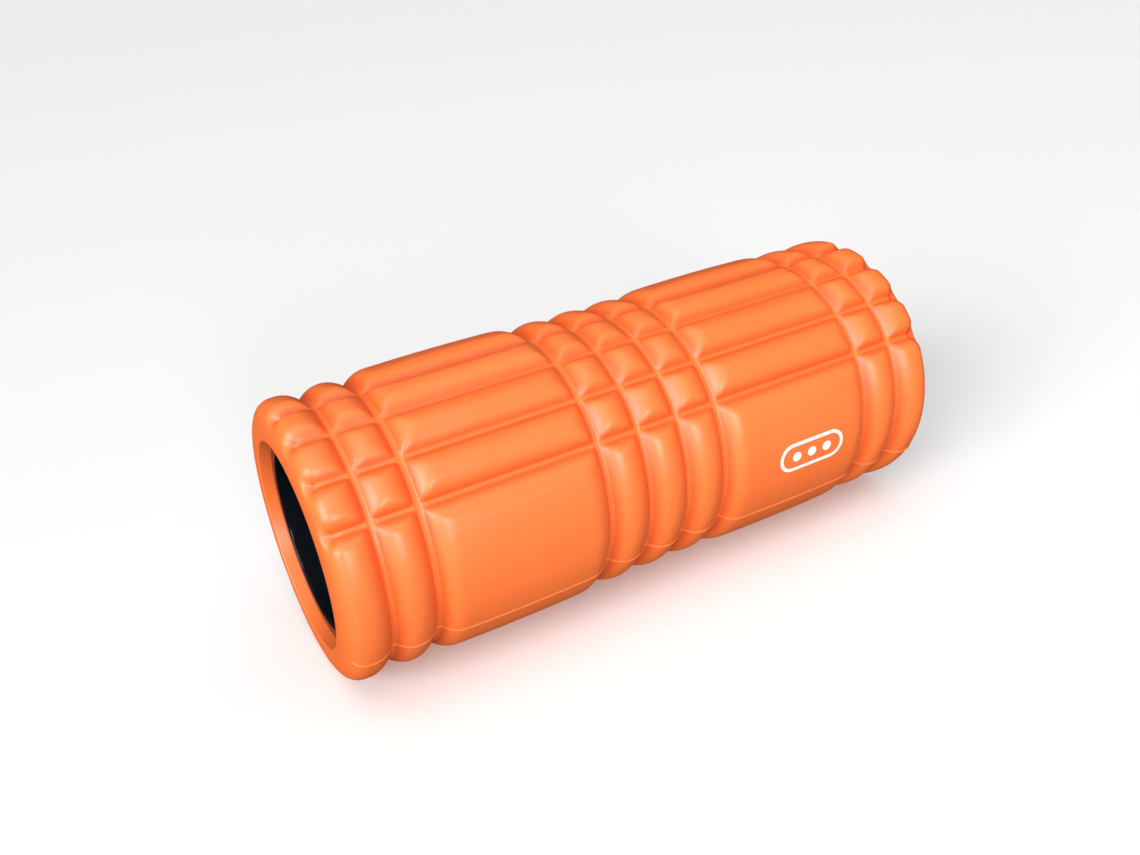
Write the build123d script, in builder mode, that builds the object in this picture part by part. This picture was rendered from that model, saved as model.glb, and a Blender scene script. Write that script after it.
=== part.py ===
"""Hollow-core grid foam roller: a moulded foam sleeve bonded onto a rigid core tube.

Frame: +X along the roller's axis, +Z up, origin on the axis at mid-length. Millimetres.
Angles round the roller are counted from +Z towards -Y.
"""

import os
from math import acos, cos, degrees, hypot, radians, sin, sqrt

from build123d import *

# Overall size
LENGTH = 330.0
CROWN_RADIUS = 70.0

# Core tube and the glue line that holds the sleeve on it
TUBE_OUTER_RADIUS = 50.0
TUBE_WALL = 6.0
TUBE_RECESS = 6.0
TUBE_EDGE_ROUND = 1.0
BOND_THICKNESS = 0.4

# Grooves round the roller leave rings between them, which stand a little lower than the panels
RING_GROOVE_DEPTH = 6.3
GROOVE_FLOOR = 2.0
RING_PITCH = 21.5
RING_DROP = 1.4
MIDDLE_RINGS = 3
LIP_RADIUS = 11.3
BORE_EDGE_ROUND = 0.8

# Lengthwise grooves come in bands, with a smooth stretch between the bands
LONG_GROOVE_DEPTH = 6.0
BANDS = 2
GROOVES_PER_BAND = 4
GROOVE_STEP = 20.0
FIRST_GROOVE_ANGLE = 0.0
CUT_OVERSHOOT = 0.4
CUT_MARGIN = 2.0

# Printed mark on the smooth stretch of one long panel
MARK_SHIFT = 4.8
MARK_PAST_GROOVE = 34.0
MARK_LENGTH = 40.0
MARK_HEIGHT = 16.0
MARK_LINE = 1.8
MARK_DOTS = 3
MARK_DOT_RADIUS = 2.6
MARK_DOT_STEP = 9.5
MARK_FILM = 0.1

# What follows from them
BORE_RADIUS = TUBE_OUTER_RADIUS + BOND_THICKNESS
TUBE_LENGTH = LENGTH - 2 * TUBE_RECESS
HALF_FLOOR = GROOVE_FLOOR / 2
RING_CROWN_RADIUS = CROWN_RADIUS - RING_DROP
RING_HEIGHT = RING_GROOVE_DEPTH - RING_DROP
RING_SHOULDER = RING_PITCH / 2 - HALF_FLOOR
# A ring is one arc from groove to groove, and a panel's shoulder is part of the same circle.
SHOULDER_RADIUS = (RING_SHOULDER**2 + RING_HEIGHT**2) / (2 * RING_HEIGHT)
PANEL_SHOULDER = sqrt(SHOULDER_RADIUS**2 - (SHOULDER_RADIUS - RING_GROOVE_DEPTH) ** 2)


def groove_places():
    """X of every groove that runs round the roller, from the -X end to the +X end."""
    middle = [RING_PITCH * (i - MIDDLE_RINGS / 2) for i in range(MIDDLE_RINGS + 1)]
    outer = LENGTH / 2 - LIP_RADIUS - RING_SHOULDER - HALF_FLOOR
    return [-outer, RING_PITCH - outer, *middle, outer - RING_PITCH, outer]


def shoulder(x, side, crown, width):
    """Draws the arc that rises from one edge of the groove at x to the crown beside it."""
    angle = degrees(acos(1 - (crown - CROWN_RADIUS + RING_GROOVE_DEPTH) / SHOULDER_RADIUS))
    centre = (x + side * (HALF_FLOOR + width), crown - SHOULDER_RADIUS)
    CenterArc(centre, SHOULDER_RADIUS, 90 if side > 0 else 90 - angle, angle)


def sleeve_outline():
    """Draws half of the sleeve's lengthwise section, in X and radius."""
    end_x = LENGTH / 2
    floor_radius = CROWN_RADIUS - RING_GROOVE_DEPTH
    lip_centre = RING_CROWN_RADIUS - LIP_RADIUS
    ring = (RING_CROWN_RADIUS, RING_SHOULDER)
    panel = (CROWN_RADIUS, PANEL_SHOULDER)
    # The crowns from end to end: two rings, a panel, the middle rings, a panel and two rings.
    crowns = [ring, ring, panel, *[ring] * MIDDLE_RINGS, panel, ring, ring]
    grooves = groove_places()
    for x, before, after in zip(grooves, crowns, crowns[1:]):
        shoulder(x, -1, *before)
        Line((x - HALF_FLOOR, floor_radius), (x + HALF_FLOOR, floor_radius))
        shoulder(x, 1, *after)
    flat_start = HALF_FLOOR + PANEL_SHOULDER
    for start, end, crown in zip(grooves, grooves[1:], crowns[1:]):
        if crown == panel:
            Line((start + flat_start, CROWN_RADIUS), (end - flat_start, CROWN_RADIUS))
    # The lip at each end is a quarter circle from the last ring's crown to the flat end face.
    CenterArc((LIP_RADIUS - end_x, lip_centre), LIP_RADIUS, 90, 90)
    CenterArc((end_x - LIP_RADIUS, lip_centre), LIP_RADIUS, 0, 90)
    Polyline((-end_x, lip_centre), (-end_x, BORE_RADIUS), (end_x, BORE_RADIUS), (end_x, lip_centre))


def groove_outline():
    """Draws the section cut away by one lengthwise groove, centred on the sketch's +Y."""
    # The shoulders end a little above the crown, so they cross its surface at an angle.
    top = CROWN_RADIUS + CUT_OVERSHOOT
    centre_radius = top - SHOULDER_RADIUS
    floor_radius = CROWN_RADIUS - LONG_GROOVE_DEPTH
    corner = (HALF_FLOOR, floor_radius)
    corner_radius = hypot(*corner)
    spread = acos(
        (centre_radius**2 + corner_radius**2 - SHOULDER_RADIUS**2)
        / (2 * centre_radius * corner_radius)
    )
    turn = spread + acos(floor_radius / corner_radius)
    shoulder_top = (top * sin(turn), top * cos(turn))
    outside = (shoulder_top[0], CROWN_RADIUS + CUT_MARGIN)
    Line((0, floor_radius), corner)
    RadiusArc(corner, shoulder_top, SHOULDER_RADIUS)
    Polyline(shoulder_top, outside, (0, outside[1]))
    mirror(about=Plane.YZ)


# The sketch plane at the -X end looks along +X, with the sketch's +Y up, so a turn by a
# positive angle goes from +Z towards -Y.
end_plane = Plane(origin=(-LENGTH / 2 - CUT_MARGIN, 0, 0), x_dir=(0, 1, 0), z_dir=(1, 0, 0))

with BuildPart() as core_tube:
    with BuildSketch(Plane.YZ):
        Circle(TUBE_OUTER_RADIUS)
        Circle(TUBE_OUTER_RADIUS - TUBE_WALL, mode=Mode.SUBTRACT)
    extrude(amount=TUBE_LENGTH / 2, both=True)
    fillet(core_tube.edges().filter_by(GeomType.CIRCLE), radius=TUBE_EDGE_ROUND)

with BuildPart() as bond_film:
    with BuildSketch(Plane.YZ):
        Circle(BORE_RADIUS)
        Circle(TUBE_OUTER_RADIUS, mode=Mode.SUBTRACT)
    extrude(amount=TUBE_LENGTH / 2 - TUBE_EDGE_ROUND, both=True)

with BuildSketch() as groove_section:
    with BuildLine():
        groove_outline()
    make_face()

with BuildPart() as foam_sleeve:
    # Drawn on the XY plane, so that the turned faces start and end clear of every groove.
    with BuildSketch(Plane.XY):
        with BuildLine():
            sleeve_outline()
        make_face()
    revolve(axis=Axis.X)
    bore_edges = foam_sleeve.edges().filter_by(GeomType.CIRCLE).filter_by(
        lambda edge: abs(edge.radius - BORE_RADIUS) < BOND_THICKNESS / 2
    )
    fillet(bore_edges, radius=BORE_EDGE_ROUND)
    with BuildSketch(end_plane):
        with PolarLocations(0, BANDS, start_angle=FIRST_GROOVE_ANGLE):
            with PolarLocations(
                0, GROOVES_PER_BAND, angular_range=GROOVE_STEP * (GROOVES_PER_BAND - 1), endpoint=True
            ):
                add(groove_section.sketch)
    extrude(amount=LENGTH + 2 * CUT_MARGIN, mode=Mode.SUBTRACT)

# The mark lies between the two grooves that bound the +X panel, past the band's last groove.
*_, panel_start, panel_end, _ = groove_places()
mark_x = (panel_start + panel_end) / 2 + MARK_SHIFT
mark_angle = FIRST_GROOVE_ANGLE + GROOVE_STEP * (GROOVES_PER_BAND - 1) + MARK_PAST_GROOVE
mark_outward = (0, -sin(radians(mark_angle)), cos(radians(mark_angle)))
mark_plane = Plane(
    origin=(mark_x, CROWN_RADIUS * mark_outward[1], CROWN_RADIUS * mark_outward[2]),
    x_dir=(1, 0, 0),
    z_dir=mark_outward,
)

with BuildPart() as printed_mark:
    with BuildSketch(mark_plane):
        SlotOverall(MARK_LENGTH, MARK_HEIGHT)
        SlotOverall(MARK_LENGTH - 2 * MARK_LINE, MARK_HEIGHT - 2 * MARK_LINE, mode=Mode.SUBTRACT)
        with GridLocations(MARK_DOT_STEP, 0, MARK_DOTS, 1):
            Circle(MARK_DOT_RADIUS)
    extrude(amount=MARK_HEIGHT / 4, both=True)
    with BuildSketch(end_plane):
        Circle(CROWN_RADIUS + MARK_FILM)
        Circle(CROWN_RADIUS, mode=Mode.SUBTRACT)
    extrude(amount=LENGTH, mode=Mode.INTERSECT)

os.makedirs("parts", exist_ok=True)
core_tube.part.label = "core_tube"
export_step(core_tube.part, "parts/core_tube.step")
bond_film.part.label = "bond_film"
export_step(bond_film.part, "parts/bond_film.step")
foam_sleeve.part.label = "foam_sleeve"
export_step(foam_sleeve.part, "parts/foam_sleeve.step")
printed_mark.part.label = "printed_mark"
export_step(printed_mark.part, "parts/printed_mark.step")
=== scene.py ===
# %% [markdown]
# # A grid foam roller
#
# The object is a hollow massage roller: one moulded foam sleeve, glued onto a stiff black tube.
# All of its character is in the sleeve. Grooves run round it and along it, and they leave rings,
# square pads and long smooth panels, all with soft shoulders. This script builds that sleeve as one
# closed surface worked out with numpy, around a frame that already holds the sizes.

# %% The frame
from math import acos, atan2, cos, hypot, radians, sin, sqrt

import bpy
import numpy as np
from mathutils import Matrix, Vector


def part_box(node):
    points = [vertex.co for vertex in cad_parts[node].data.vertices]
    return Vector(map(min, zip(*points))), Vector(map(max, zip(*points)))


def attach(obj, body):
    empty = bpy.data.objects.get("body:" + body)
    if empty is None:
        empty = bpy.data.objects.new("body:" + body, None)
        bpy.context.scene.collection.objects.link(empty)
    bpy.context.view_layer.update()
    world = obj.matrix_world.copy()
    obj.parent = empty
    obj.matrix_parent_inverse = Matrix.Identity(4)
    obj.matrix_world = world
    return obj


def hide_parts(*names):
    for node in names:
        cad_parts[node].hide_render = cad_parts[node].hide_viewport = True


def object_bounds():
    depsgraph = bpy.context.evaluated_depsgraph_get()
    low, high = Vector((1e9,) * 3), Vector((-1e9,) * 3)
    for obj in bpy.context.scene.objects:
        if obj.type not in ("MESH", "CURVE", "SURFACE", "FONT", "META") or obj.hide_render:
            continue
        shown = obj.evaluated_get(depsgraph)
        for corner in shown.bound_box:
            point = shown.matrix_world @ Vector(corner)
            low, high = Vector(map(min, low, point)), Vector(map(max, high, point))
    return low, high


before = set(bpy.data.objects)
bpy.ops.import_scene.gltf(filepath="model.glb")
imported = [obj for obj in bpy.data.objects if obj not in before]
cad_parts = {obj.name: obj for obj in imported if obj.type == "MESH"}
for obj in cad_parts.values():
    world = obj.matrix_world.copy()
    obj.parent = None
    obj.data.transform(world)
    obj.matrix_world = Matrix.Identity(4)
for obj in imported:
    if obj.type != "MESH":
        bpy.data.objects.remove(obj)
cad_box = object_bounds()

MM = 0.001
scene = bpy.context.scene
print("CAD box in mm:", [[round(v / MM, 2) for v in corner] for corner in cad_box])

# %% [markdown]
# ## Sizes
#
# The frame gives the length, the crown and the bore. The groove pattern is stated once here, in
# millimetres, as a mould maker would: the pitch of the rings, the depth and floor of a groove, and
# the angles of the lengthwise grooves, counted round the axis from straight up towards the front.

# %% Sizes from the frame
HALF_LENGTH, CROWN, _ = np.array(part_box("foam_sleeve")[1]) / MM
_, BORE, _ = np.array(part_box("bond_film")[1]) / MM
print(f"length {2 * HALF_LENGTH:.1f}, crown radius {CROWN:.1f}, bore radius {BORE:.1f}")

# %% The groove pattern
RING_PITCH = 21.5
RING_GROOVE_DEPTH = 6.3
LONG_GROOVE_DEPTH = 6.0
GROOVE_FLOOR = 2.0
RING_DROP = 1.4  # how much lower the rings stand than the long panels
LIP_LENGTH = 11.3  # along the axis, from the end face to the last ring's crown
LIP_POWER = 2.8  # 2 would be an ellipse, and more is fuller
BARREL = 0.8  # how far a long panel's ends drop below its middle
GROOVE_RUN_OUT = (0.55, 0.8)  # shares of the lip's height where a lengthwise groove starts and is whole
BORE_EDGE = 0.8
MIDDLE_RINGS = 3
BAND_STARTS = (0.0, 180.0)
GROOVE_STEP = 20.0
GROOVES_PER_BAND = 4
PARTING_ANGLES = (120.0, 300.0)

RING_SHOULDER = (RING_PITCH - GROOVE_FLOOR) / 2
RING_HEIGHT = RING_GROOVE_DEPTH - RING_DROP
SHOULDER_RADIUS = (RING_SHOULDER**2 + RING_HEIGHT**2) / (2 * RING_HEIGHT)
PANEL_SHOULDER = sqrt(SHOULDER_RADIUS**2 - (SHOULDER_RADIUS - RING_GROOVE_DEPTH) ** 2)
outer_groove = HALF_LENGTH - LIP_LENGTH - RING_SHOULDER - GROOVE_FLOOR / 2
middle_grooves = RING_PITCH * (np.arange(MIDDLE_RINGS + 1) - MIDDLE_RINGS / 2)
end_grooves = np.array([outer_groove - RING_PITCH, outer_groove])
RING_GROOVES = np.concatenate([-end_grooves[::-1], middle_grooves, end_grooves])
LONG_GROOVES = np.array([s + GROOVE_STEP * k for s in BAND_STARTS for k in range(GROOVES_PER_BAND)])
print("grooves round the roller at x =", RING_GROOVES.round(2))
print("grooves along the roller at", LONG_GROOVES, "degrees")

# %% [markdown]
# ## The section of a groove
#
# Both kinds of groove have the same section: a narrow floor between two convex shoulders, each an
# arc that meets the crown smoothly. The foam flows round the mould's ribs, so the line where the
# shoulder meets the floor is a small fillet, not a crease. A smooth maximum of "shoulder height" and
# "floor height" gives that fillet with no extra points.

# %% Depth of a groove round the roller
FILLET = 0.35


def soft_floor(height):
    """Half of (h + sqrt(h squared + f squared)): h where h is well above 0, and 0 well below it."""
    return (height + np.sqrt(height**2 + FILLET**2)) / 2


def ring_groove_depth(away, rise, shoulder):
    """Depth below the panels' crown at a distance from a ring groove's middle, along the axis.

    The shoulder is a circle of SHOULDER_RADIUS that rises by `rise` over the length `shoulder`:
    height = sqrt(radius^2 - (distance to its top)^2) - (radius - rise).
    """
    to_top = np.clip(shoulder + GROOVE_FLOOR / 2 - np.abs(away), 0, SHOULDER_RADIUS)
    height = np.sqrt(SHOULDER_RADIUS**2 - to_top**2) - (SHOULDER_RADIUS - rise)
    return RING_GROOVE_DEPTH - np.minimum(soft_floor(height), rise)


across_ring = ring_groove_depth(np.array([0, 1, 2, 5, 10]), RING_HEIGHT, RING_SHOULDER)
print("depth of a ring groove at 0, 1, 2, 5 and 10 mm from its middle:", across_ring.round(2))

# %% Depth of a lengthwise groove
def long_groove_depth(turn):
    """Depth below the crown at an angle, in radians, from a lengthwise groove's middle.

    The shoulder's circle touches the crown from inside and passes through the floor's edge. A ray
    from the axis at the angle meets it at c.cos(b) + sqrt(r^2 - c^2.sin(b)^2), where c is the
    circle's distance from the axis and b the angle between the ray and the circle's centre.
    """
    centre = CROWN - SHOULDER_RADIUS
    edge = (GROOVE_FLOOR / 2, CROWN - LONG_GROOVE_DEPTH)
    reach = hypot(*edge)
    spread = acos((centre**2 + reach**2 - SHOULDER_RADIUS**2) / (2 * centre * reach))
    top_turn = spread + atan2(*edge)
    b = np.maximum(top_turn - np.abs(turn), 0)
    ray = centre * np.cos(b) + np.sqrt(np.maximum(SHOULDER_RADIUS**2 - (centre * np.sin(b)) ** 2, 0))
    height = ray - (CROWN - LONG_GROOVE_DEPTH)
    return LONG_GROOVE_DEPTH - np.minimum(soft_floor(height), LONG_GROOVE_DEPTH)


across_long = long_groove_depth(np.radians([0, 1, 2, 5, 10]))
print("depth of a lengthwise groove at 0, 1, 2, 5 and 10 degrees from its middle:", across_long.round(2))


# %% [markdown]
# ## Where two grooves cross
#
# At a crossing the deeper of the two cuts wins, which leaves a mitred ridge from the crossing up to
# the corner of each pad. A true maximum would make that ridge razor sharp, and foam can't hold
# that. A power sum with a high power is the same thing with a soft edge. It is held at the floor's
# depth, so the floors run into one another with no pit where they meet.

# %% Blending the two cuts
RIDGE_POWER = 6.0


def deeper_cut(first, second):
    """(a^p + b^p)^(1/p), no deeper than the deeper of a, b and the lengthwise groove's floor."""
    together = (first**RIDGE_POWER + second**RIDGE_POWER) ** (1 / RIDGE_POWER)
    return np.minimum(together, np.maximum(np.maximum(first, second), LONG_GROOVE_DEPTH))


print("two cuts of 3 mm join into one of", deeper_cut(np.array(3.0), np.array(3.0)).round(2), "mm")


# %% [markdown]
# ## The lengthwise section
#
# One closed loop of points goes round the sleeve's wall: round the bore's edge, over the rounded
# end, along the grooved outside, over the far end, and back through the bore. The end could be a
# quarter circle, but a moulded end is fuller than that, and nearly flat beside the bore. A
# superellipse gives both in one curve with no crease. Points crowd together in the grooves and
# spread out on the panels, because that is where the shape needs them.

# %% Placing points
def smooth_step(value, low, high):
    """0 below low, 1 above high, and 3u^2 - 2u^3 between them."""
    u = np.clip((value - low) / (high - low), 0, 1)
    return u * u * (3 - 2 * u)


def crowd(offsets, centres):
    """The same set of offsets placed at every centre."""
    return (np.asarray(centres)[:, None] + np.asarray(offsets)[None, :]).ravel()


HALF_OFFSETS = np.array([0.4, 0.75, 1.05, 1.4, 1.9, 2.6, 3.5, 4.6, 5.9, 7.3, 8.7, 10.0])
GROOVE_OFFSETS = np.concatenate([-HALF_OFFSETS[::-1], [0.0], HALF_OFFSETS])
PANEL_STEP = 2.5
LIP_CLEARANCE = 0.2  # keeps the outside's last point apart from the lip's


def outside_places():
    """X of every point on the grooved outside, between the two lips."""
    crowded = crowd(GROOVE_OFFSETS, RING_GROOVES)
    panel_start = RING_GROOVES[-3] + GROOVE_OFFSETS[-1]
    panel_end = RING_GROOVES[-2] - GROOVE_OFFSETS[-1]
    panel = np.linspace(panel_start, panel_end, int((panel_end - panel_start) / PANEL_STEP))[1:-1]
    places = np.sort(np.concatenate([crowded, panel, -panel]))
    return places[np.abs(places) < HALF_LENGTH - LIP_LENGTH - LIP_CLEARANCE]


print("points along the outside:", len(outside_places()))


# %% Curves of the section
def quarter(centre, radius, start, count):
    """A quarter circle in the section, from the start angle on, a quarter turn clockwise."""
    angle = np.radians(start) - np.linspace(0, np.pi / 2, count)
    return np.stack([centre[0] + radius * np.cos(angle), centre[1] + radius * np.sin(angle)])


def outside_depth(x):
    """Depth below the crown at each x: rings rise less than panels, and panels are slightly barrelled.

    barrel = BARREL.(distance from the panel's middle / half its length)^2
    """
    away = np.abs(x[:, None] - RING_GROOVES[None, :]).min(axis=1)
    on_panel = (np.abs(x) > RING_GROOVES[-3]) & (np.abs(x) < RING_GROOVES[-2])
    middle, half = (RING_GROOVES[-2] + RING_GROOVES[-3]) / 2, (RING_GROOVES[-2] - RING_GROOVES[-3]) / 2
    ring = ring_groove_depth(away, RING_HEIGHT, RING_SHOULDER)
    panel = ring_groove_depth(away, RING_GROOVE_DEPTH, PANEL_SHOULDER)
    barrel = BARREL * ((np.abs(x) - middle) / half) ** 2
    return np.where(on_panel, np.minimum(panel + barrel, RING_GROOVE_DEPTH), ring)


def lip_section(count):
    """The rounded end, from the bore's edge to the last ring's crown, with no crease.

    A superellipse: (along/LIP_LENGTH)^p + (up/height)^p = 1, walked by an angle t, where
    along = LIP_LENGTH.sin(t)^(2/p) and up = height.cos(t)^(2/p), both counted from its centre. The
    code keeps along and up as shares of LIP_LENGTH and height.
    The way into the foam is its gradient turned round: (along^(p-1)/LIP_LENGTH^p, up^(p-1)/height^p).
    """
    t = np.linspace(np.pi / 2, 0, count)
    height = CROWN - RING_DROP - BORE - BORE_EDGE
    along, up = np.sin(t) ** (2 / LIP_POWER), np.cos(t).clip(0) ** (2 / LIP_POWER)
    into = np.stack([along ** (LIP_POWER - 1) / LIP_LENGTH, -(up ** (LIP_POWER - 1)) / height])
    into /= np.hypot(*into)
    left = smooth_step(up, *GROOVE_RUN_OUT)
    x, radius = LIP_LENGTH * (1 - along) - HALF_LENGTH, BORE + BORE_EDGE + up * height
    return np.stack([x, radius, np.full_like(x, RING_DROP), *(into * left)])


def plain_rows(x, radius, depth, sink):
    """Rows for points where the way into the foam is straight down, or where nothing sinks."""
    fill = np.ones_like(x)
    return np.stack([x, radius, depth * fill, 0 * fill, -sink * fill])


# %% The whole section
EDGE_POINTS = 6
LIP_POINTS = 28
BORE_POINTS = 12


def sleeve_section():
    """Five rows for the points of the section, in order round the wall, with no point repeated.

    The rows are x, radius, the depth already below the crown, and the step that a lengthwise groove
    takes into the foam there, in x and radius. That step is whole on the outside, it dies away down
    the lip, and it is nothing in the bore.
    """
    places = outside_places()
    depth = outside_depth(places)
    outside = plain_rows(places, CROWN - depth, depth, sink=1)
    edge = quarter((BORE_EDGE - HALF_LENGTH, BORE + BORE_EDGE), BORE_EDGE, 270, EDGE_POINTS)[:, :-1]
    near_end = np.concatenate([plain_rows(*edge, RING_DROP, sink=0), lip_section(LIP_POINTS)], axis=1)
    far_end = near_end[:, ::-1] * np.array([-1.0, 1.0, 1.0, -1.0, 1.0])[:, None]
    bore_x = np.linspace(HALF_LENGTH - BORE_EDGE, BORE_EDGE - HALF_LENGTH, BORE_POINTS)[1:-1]
    bore = plain_rows(bore_x, np.full_like(bore_x, BORE), RING_DROP, sink=0)
    return np.concatenate([near_end, outside, far_end, bore], axis=1)


section = sleeve_section()
print("points in the section:", section.shape[1])

# %% [markdown]
# ## Angles round the axis
#
# The other direction of the grid goes round the roller. Inside a band of grooves the angles are
# crowded at each groove in the same way. In the smooth stretch they are wide apart, except at the
# parting line, where the two halves of the mould met and left a fine raised line in the skin.

# %% The grid's angles
FLASH_HEIGHT = 0.45
FLASH_WIDTH = 0.4
FLASH_OFFSETS = (-1.0, -0.6, -0.4, -0.2, 0.0, 0.2, 0.4, 0.6, 1.0)
SMOOTH_STEP = 2.4
SMOOTH_CLEARANCE = 0.5


def grid_angles():
    """Every angle of the grid, in degrees, from 0 up to but not including 360."""
    turns = GROOVE_OFFSETS * (GROOVE_STEP / 2) / GROOVE_OFFSETS[-1]
    grooves = crowd(turns, LONG_GROOVES)
    flash = crowd(FLASH_OFFSETS, PARTING_ANGLES)
    smooth = np.arange(0, 360, SMOOTH_STEP)
    from_groove = np.abs((smooth[:, None] - LONG_GROOVES + 180) % 360 - 180).min(axis=1)
    from_flash = np.abs((smooth[:, None] - np.array(PARTING_ANGLES) + 180) % 360 - 180).min(axis=1)
    clear_of_grooves = from_groove > GROOVE_STEP / 2 + SMOOTH_CLEARANCE
    clear_of_flash = from_flash > FLASH_OFFSETS[-1] + SMOOTH_CLEARANCE
    smooth = smooth[clear_of_grooves & clear_of_flash]
    return np.unique(np.concatenate([grooves % 360, flash, smooth]).round(4))


angles = grid_angles()
print("angles round the axis:", len(angles))

# %% [markdown]
# ## The sleeve
#
# Every point is now a plain sum: the section gives its place along the axis and its radius, the
# angle gives the lengthwise cut, and `deeper_cut` joins them. The whole grid is computed at once.
# Two numbers are kept on each point for the materials: how deep it lies in a groove, from 0 to 1,
# and how near it is to the parting line.

# %% Helpers that turn a grid into a mesh
def closed_grid_faces(rows, columns):
    """Four-cornered faces of a grid that closes on itself in both directions."""
    row, column = np.meshgrid(np.arange(rows), np.arange(columns), indexing="ij")
    next_row, next_column = (row + 1) % rows, (column + 1) % columns
    corners = [row * columns + column, next_row * columns + column]
    corners += [next_row * columns + next_column, row * columns + next_column]
    return np.stack(corners, axis=-1).reshape(-1, 4)


def mesh_piece(name, points, faces, material):
    """A smooth-shaded object from an array of points in millimetres and an array of faces."""
    mesh = bpy.data.meshes.new(name)
    mesh.vertices.add(len(points))
    mesh.vertices.foreach_set("co", (points * MM).astype(np.float32).ravel())
    mesh.loops.add(faces.size)
    mesh.loops.foreach_set("vertex_index", faces.astype(np.int32).ravel())
    mesh.polygons.add(len(faces))
    mesh.polygons.foreach_set("loop_start", np.arange(0, faces.size, 4, dtype=np.int32))
    mesh.polygons.foreach_set("use_smooth", np.ones(len(faces), dtype=bool))
    mesh.update(calc_edges=True)
    mesh.validate()
    mesh.materials.append(material)
    piece = bpy.data.objects.new(name, mesh)
    scene.collection.objects.link(piece)
    return piece


def point_numbers(piece, name, values):
    """Keeps one number for each point of a piece, for its material to read."""
    attribute = piece.data.attributes.new(name, "FLOAT", "POINT")
    attribute.data.foreach_set("value", values.ravel().astype(np.float32))


# %% The sleeve's surface
def nearest_turn(angle, places):
    """Smallest signed turn, in degrees, from any of the places to each angle."""
    turns = (angle[:, None] - np.asarray(places)[None, :] + 180) % 360 - 180
    return turns[np.arange(len(angle)), np.abs(turns).argmin(axis=1)]


def sleeve_surface():
    """Grid of points, with the two kept numbers.

    sunk = deeper_cut(own depth, lengthwise depth) - own depth - height of the flash, whose section is
    exp(-(distance/width)^2). The section's point takes that many of its own steps into the foam,
    then it is turned round the axis to (x, -radius.sin(angle), radius.cos(angle)).
    """
    x, radius, own, step_x, step_radius = section[:, :, None]
    across = long_groove_depth(np.radians(nearest_turn(angles, LONG_GROOVES)))[None, :]
    line = np.radians(nearest_turn(angles, PARTING_ANGLES))[None, :] * CROWN
    share = np.hypot(step_x, step_radius)
    flash = np.exp(-((line / FLASH_WIDTH) ** 2)) * share
    sunk = deeper_cut(own, across) - own - FLASH_HEIGHT * flash
    x, radius = x + step_x * sunk, radius + step_radius * sunk
    turn = np.radians(angles)[None, :]
    points = np.stack([x, -radius * np.sin(turn), radius * np.cos(turn)], axis=-1)
    return points.reshape(-1, 3), np.clip((own + share * sunk) / RING_GROOVE_DEPTH, 0, 1), flash


# %% [markdown]
# ## Writing materials as sums
#
# A pattern is easier to read as an expression than as a web of nodes. `Signal` wraps one socket
# and adds a Math node for each operator, and `Recipe` is a material being written. Whatever is not
# a sum, such as a noise or a colour mix, comes from `Recipe.node`.

# %% Signal and Recipe
class Signal:
    """One output socket, with arithmetic."""

    def __init__(self, recipe, socket):
        self.recipe, self.socket = recipe, socket

    def math(self, operation, *values):
        inputs = dict(enumerate(values))
        return self.recipe.node("ShaderNodeMath", {"operation": operation}, inputs)

    def __add__(self, other):
        return self.math("ADD", self, other)

    def __sub__(self, other):
        return self.math("SUBTRACT", self, other)

    def __mul__(self, other):
        return self.math("MULTIPLY", self, other)

    def __rsub__(self, other):
        return self.math("SUBTRACT", other, self)

    __radd__ = __add__
    __rmul__ = __mul__


class Recipe:
    """A material being written. Uniform numbers go straight onto the shader's own sockets."""

    def __init__(self, name, **uniform):
        self.material = bpy.data.materials.new(name)
        self.material.use_nodes = True
        self.tree = self.material.node_tree
        self.shader = self.tree.nodes["Principled BSDF"]
        for socket, value in uniform.items():
            self.shader.inputs[socket.replace("_", " ")].default_value = value

    def feed(self, socket, value):
        """Links a Signal to a socket, or sets the socket to a plain value."""
        if isinstance(value, Signal):
            self.tree.links.new(value.socket, socket)
        else:
            socket.default_value = value

    def node(self, kind, settings=None, inputs=None, out=0):
        """Any node: its settings first, then its sockets, and the output that is wanted."""
        made = self.tree.nodes.new(kind)
        for key, value in (settings or {}).items():
            setattr(made, key, value)
        for key, value in (inputs or {}).items():
            self.feed(made.inputs[key], value)
        return Signal(self, made.outputs[out])

    def where(self):
        """Places on the piece in metres, from its Object coordinates."""
        return self.node("ShaderNodeTexCoord", out=3)

    def kept(self, name):
        """The number of that name that was kept on the piece's points."""
        return self.node("ShaderNodeAttribute", {"attribute_name": name}, out=2)

    def noise(self, where, size, detail=2.0, roughness=0.5):
        """Smooth noise from 0 to 1, with blobs about `size` metres across."""
        inputs = {"Vector": where, "Scale": 1 / size, "Detail": detail, "Roughness": roughness}
        return self.node("ShaderNodeTexNoise", {}, inputs)

    def tint(self, factor, first, second):
        """Colour that goes from the first to the second as the factor goes from 0 to 1."""
        return self.node("ShaderNodeMix", {"data_type": "RGBA"}, {0: factor, 6: first, 7: second}, out=2)

    def window(self, signal, low, high):
        """0 below low, 1 above high, and a smooth ramp between them."""
        settings = {"interpolation_type": "SMOOTHSTEP"}
        inputs = {"Value": signal, "From Min": low, "From Max": high}
        return self.node("ShaderNodeMapRange", settings, inputs)

    def bump(self, height, distance, onto=None):
        """A normal bent by a height from 0 to 1, whose full step is `distance` metres."""
        inputs = {"Height": height, "Distance": distance, "Strength": 1.0}
        if onto:
            inputs["Normal"] = onto
        return self.node("ShaderNodeBump", {}, inputs)

    def finish(self, **varying):
        """Feeds the patterns to the shader and returns the material."""
        for socket, value in varying.items():
            self.feed(self.shader.inputs[socket.replace("_", " ")], value)
        return self.material


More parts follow.
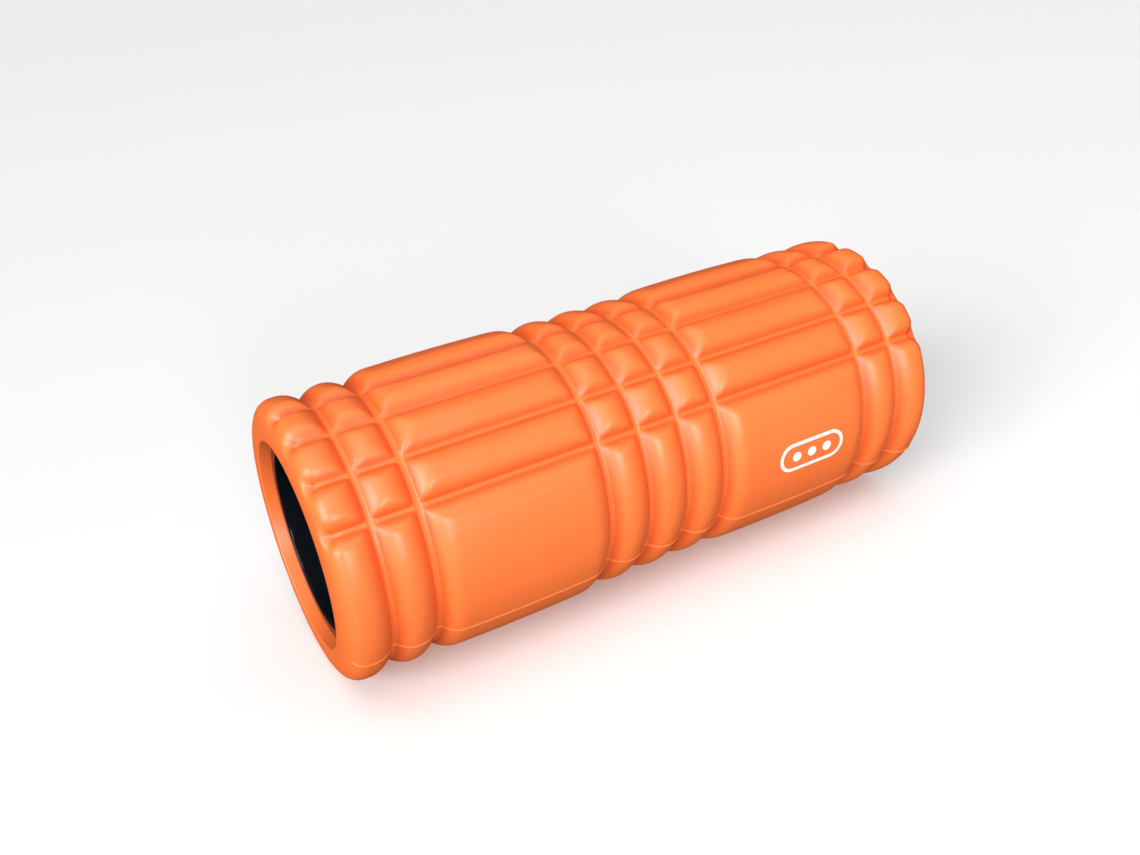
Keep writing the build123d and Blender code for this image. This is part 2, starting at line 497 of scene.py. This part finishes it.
# %% [markdown]
# ## Moulded foam
#
# The sleeve is closed-cell foam with a moulded skin: a strong even orange, matt with a broad soft
# shine. Seen close, the skin has a fine orange-peel grain with pinpricks where cells opened, and
# the colour drifts a little over a hand's width. The grooves' flanks carry painted shade: a deeper
# orange standing in for the shade and orange bounce light that fall there. A paler stripe along the
# raised parting line is a painted highlight, for the light that the fine ridge catches. The depth
# kept on the points says where the flanks are, so the painted shade follows the shape by itself.

# %% The foam
ORANGE = (0.93, 0.172, 0.03, 1)
# deeper orange: painted shade on the grooves' flanks, and the real pinpricks where cells opened
SHADE_AND_PRICK_ORANGE = (0.86, 0.1, 0.01, 1)
# paler orange: the real drift of tone, and the painted highlight along the parting line
DRIFT_AND_HIGHLIGHT_ORANGE = (0.98, 0.25, 0.07, 1)
DRIFT_SIZE, GRAIN_SIZE, CELL_SIZE = 0.06, 0.0011, 0.0016
GRAIN_HEIGHT, PRICK_DEPTH = 0.00006, 0.00005


def foam_material():
    """Orange moulded foam."""
    foam = Recipe("moulded_foam", IOR=1.45, Specular_IOR_Level=0.9)
    where = foam.where()
    sunk = foam.kept("sunk")
    flash = foam.kept("flash")
    drift = foam.noise(where, DRIFT_SIZE, detail=3)
    grain = foam.noise(where, GRAIN_SIZE, detail=3, roughness=0.6)
    cells = foam.node("ShaderNodeTexVoronoi", {}, {"Vector": where, "Scale": 1 / CELL_SIZE})
    pricks = 1 - foam.window(cells, 0.06, 0.2)
    colour = foam.tint(foam.window(drift, 0.35, 0.7) * 0.15, ORANGE, DRIFT_AND_HIGHLIGHT_ORANGE)
    # painted shade: the grooves' flanks are darkened towards a deeper orange for the shade and orange
    # bounce light there; the narrow floors keep the plain colour
    painted_flank_shade = foam.window(sunk, 0.3, 0.8) - foam.window(sunk, 0.9, 0.99)
    colour = foam.tint(painted_flank_shade * 0.75 + pricks * 0.12, colour, SHADE_AND_PRICK_ORANGE)
    # painted highlight: a paler stripe along the raised parting line, for the light its fine ridge
    # catches
    colour = foam.tint(flash * 0.9, colour, DRIFT_AND_HIGHLIGHT_ORANGE)
    dull = 0.38 + grain * 0.1
    skin = foam.bump(grain, GRAIN_HEIGHT)
    skin = foam.bump(1 - pricks, PRICK_DEPTH, onto=skin)
    return foam.finish(Base_Color=colour, Roughness=dull, Normal=skin)


# %% Making the sleeve
points, sunk, flash = sleeve_surface()
faces = closed_grid_faces(section.shape[1], len(angles))
sleeve = mesh_piece("grooved_sleeve", points, faces, foam_material())
point_numbers(sleeve, "sunk", sunk)
point_numbers(sleeve, "flash", flash)
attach(sleeve, "root")
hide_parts("foam_sleeve")
print("sleeve:", len(points), "points,", 2 * len(faces), "triangles")

# %% [markdown]
# ## The black tube
#
# The core is a cut length of extruded black plastic. Extrusion leaves very fine lines along the
# axis, and handling leaves a faint haze. The shape in the frame is already right, so it only gets
# its finish: noise stretched along the axis for the die lines, and a broad one for the haze.

# %% The tube's plastic
def tube_material():
    """Extruded black plastic."""
    tube = Recipe("extruded_black_plastic", IOR=1.45, Specular_IOR_Level=0.25)
    where = tube.where()
    stretched = tube.node("ShaderNodeMapping", {}, {"Vector": where, "Scale": (0.02, 1, 1)})
    lines = tube.noise(stretched, size=0.0009, detail=3, roughness=0.6)
    haze = tube.noise(where, size=0.03, detail=4)
    colour = tube.tint(haze, (0.003, 0.004, 0.006, 1), (0.006, 0.008, 0.011, 1))
    dull = 0.07 + haze * 0.06 + lines * 0.04
    skin = tube.bump(lines, distance=0.00003)
    return tube.finish(Base_Color=colour, Roughness=dull, Normal=skin)


def dress(node, material):
    """Gives a CAD node's object its finish."""
    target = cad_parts[node]
    target.data.materials.clear()
    target.data.materials.append(material)
    print(node, "is", material.name)


dress("core_tube", tube_material())

# %% [markdown]
# ## Glue line and print
#
# The glue shows only as a hairline ring between the tube and the foam. The print is a thick pale
# ink, laid on through a screen: it is nearly solid, with a few pinholes where the foam's grain
# kept it off, and it shines a little more than the foam.

# %% Glue and ink
def glue_material():
    """Cured contact adhesive."""
    glue = Recipe("cured_adhesive", IOR=1.48)
    where = glue.where()
    beads = glue.noise(where, size=0.004, detail=3)
    colour = glue.tint(beads, (0.02, 0.014, 0.01, 1), (0.05, 0.035, 0.022, 1))
    skin = glue.bump(beads, distance=0.0002)
    return glue.finish(Base_Color=colour, Roughness=0.3 + beads * 0.2, Normal=skin)


def ink_material():
    """Screen-printed white ink on foam."""
    ink = Recipe("screen_ink", IOR=1.5)
    where = ink.where()
    weave = ink.noise(where, size=0.0007, detail=3)
    thin = ink.window(weave, 0.62, 0.75)
    colour = ink.tint(thin * 0.35, (0.93, 0.91, 0.88, 1), (0.95, 0.6, 0.42, 1))
    skin = ink.bump(weave, distance=0.00004)
    return ink.finish(Base_Color=colour, Roughness=0.34 + weave * 0.2, Normal=skin)


dress("bond_film", glue_material())
dress("printed_mark", ink_material())

# %% [markdown]
# ## Floor, light and camera
#
# A pale floor runs out of sight. A broad light from the front left does the shaping, a small box
# near the front draws the soft shine on the crowns, a wide light overhead lifts the top, and the
# pale surroundings fill the rest. A white floor this close would throw light up onto the foam and
# wash out the undersides of the rings, so it is hidden from the rays that leave other pieces, and
# the surroundings are kept out of the gloss.

# %% The floor
FLOOR_SIZE = 40000.0
floor_z = cad_box[0][2] / MM
corners = np.array([(-1, -1), (1, -1), (1, 1), (-1, 1)]) * FLOOR_SIZE / 2
floor_points = np.column_stack([corners, np.full(4, floor_z)])
floor_recipe = Recipe("pale_floor", Base_Color=(0.9, 0.9, 0.9, 1), Roughness=0.7)
floor = mesh_piece("floor", floor_points, np.array([[0, 1, 2, 3]]), floor_recipe.material)
floor.visible_diffuse = floor.visible_glossy = False
print("floor at", round(floor_z, 2), "mm")


# %% The lights
def aimed(name, lamp, azimuth, elevation, distance):
    """Puts a lamp at a distance in metres, facing the object's middle."""
    light = bpy.data.objects.new(name, lamp)
    az, el = radians(azimuth), radians(elevation)
    place = Vector((sin(az) * cos(el), -cos(az) * cos(el), sin(el))) * distance
    light.matrix_world = Matrix.Translation(place) @ place.to_track_quat("Z", "Y").to_matrix().to_4x4()
    scene.collection.objects.link(light)
    print(f"{name} light at azimuth {azimuth}, elevation {elevation}")


def soft_box(name, azimuth, elevation, distance, size, power):
    """A square area light, in metres and watts."""
    lamp = bpy.data.lights.new(name, "AREA")
    lamp.size, lamp.energy = size, power
    aimed(name, lamp, azimuth, elevation, distance)


def distant(name, azimuth, elevation, spread, strength):
    """A far, wide light that is even over the whole floor; spread is its width in degrees."""
    lamp = bpy.data.lights.new(name, "SUN")
    lamp.angle, lamp.energy = radians(spread), strength
    aimed(name, lamp, azimuth, elevation, 2.0)


distant("key", azimuth=-64, elevation=23, spread=35, strength=2.9)
soft_box("front", azimuth=-14, elevation=16, distance=1.5, size=0.35, power=11)
distant("ceiling", azimuth=-30, elevation=72, spread=50, strength=0.9)

# %% The surroundings
world = bpy.data.worlds.new("surroundings")
world.use_nodes = True
background = world.node_tree.nodes["Background"]
background.inputs["Color"].default_value = (1.0, 0.99, 0.98, 1)
background.inputs["Strength"].default_value = 0.42
scene.world = world
world.cycles_visibility.glossy = False
scene.view_settings.view_transform = "Standard"
print("surroundings strength", round(background.inputs["Strength"].default_value, 2))

# %% [markdown]
# The camera looks down from the front left with a slightly long lens, and it is rolled a little, so
# the roller's axis climbs across the view. Its offset moves it sideways and up, which keeps the
# roller a little off the middle.

# %% The camera
CAMERA_AZIMUTH, CAMERA_ELEVATION, CAMERA_ROLL = -26.75, 27.34, -5.69
CAMERA_DISTANCE = 579.5
CAMERA_OFFSET = (-16.3, 6.1)
LENS, SENSOR = 35.1, 36.0


def aim_camera():
    """Places the camera by azimuth, elevation and roll about the row's origin."""
    az, el, roll = (radians(v) for v in (CAMERA_AZIMUTH, CAMERA_ELEVATION, CAMERA_ROLL))
    back = Vector((sin(az) * cos(el), -cos(az) * cos(el), sin(el)))
    right = Vector((cos(az), sin(az), 0))
    up = back.cross(right)
    right, up = right * cos(roll) + up * sin(roll), up * cos(roll) - right * sin(roll)
    turned = Matrix((right, up, back)).transposed()
    place = turned @ Vector((*CAMERA_OFFSET, CAMERA_DISTANCE)) * MM
    camera_data = bpy.data.cameras.new("camera")
    camera_data.lens, camera_data.sensor_width = LENS, SENSOR
    camera = bpy.data.objects.new("camera", camera_data)
    camera.matrix_world = Matrix.Translation(place) @ turned.to_4x4()
    scene.collection.objects.link(camera)
    scene.camera = camera
    return place


print("camera at", [round(v, 3) for v in aim_camera()])
